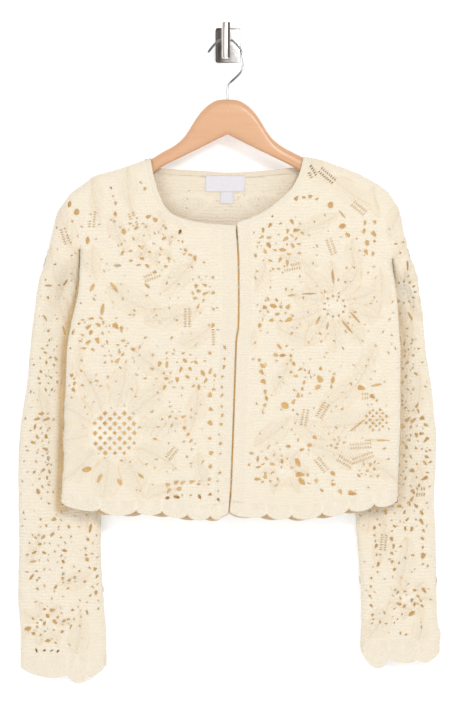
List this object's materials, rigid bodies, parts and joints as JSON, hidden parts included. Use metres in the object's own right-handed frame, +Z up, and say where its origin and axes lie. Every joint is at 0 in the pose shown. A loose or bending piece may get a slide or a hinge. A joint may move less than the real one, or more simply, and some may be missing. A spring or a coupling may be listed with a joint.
{
  "type": "crochet cropped cardigan on a wooden hanger and wall hook",
  "caption": "Open-front crochet lace cropped cardigan with long sleeves and scalloped hem and cuffs, hanging on a wooden hanger from a metal wall hook.",
  "frame": {"origin": "centre of the back face of the wall hook's plate, in the plane of the wall", "axes": "+Z up along the hanging garment; the front of the garment faces -Y and the wall is the plane Y = 0; +X is to the right as seen from the front"},
  "size_m": [0.543, 0.055, 0.8433],
  "materials": {
    "crochet cotton": "matt crochet",
    "crochet edging": "matt crochet",
    "woven label": "satin weave",
    "hanger wood": "clear varnish",
    "chrome": "polished"
  },
  "bodies": {
    "root": {"front_left": "crochet cotton", "front_right": "crochet cotton", "back": "crochet cotton", "sleeve_left_front": "crochet cotton", "sleeve_left_back": "crochet cotton", "sleeve_right_front": "crochet cotton", "sleeve_right_back": "crochet cotton", "front_band_left": "crochet edging", "front_band_right": "crochet edging", "neck_edging_left": "crochet edging", "neck_edging_right": "crochet edging", "neck_edging_back": "crochet edging", "hem_edging_left": "crochet edging", "hem_edging_right": "crochet edging", "hem_edging_back": "crochet edging", "cuff_edging_left_front": "crochet edging", "cuff_edging_left_back": "crochet edging", "cuff_edging_right_front": "crochet edging", "cuff_edging_right_back": "crochet edging", "label": "woven label", "size_tab": "woven label", "hanger_arm_left": "hanger wood", "hanger_arm_right": "hanger wood", "hanger_hook": "chrome", "wall_plate": "chrome", "wall_stem": "chrome", "wall_bar": "chrome"}
  },
  "joints": []
}
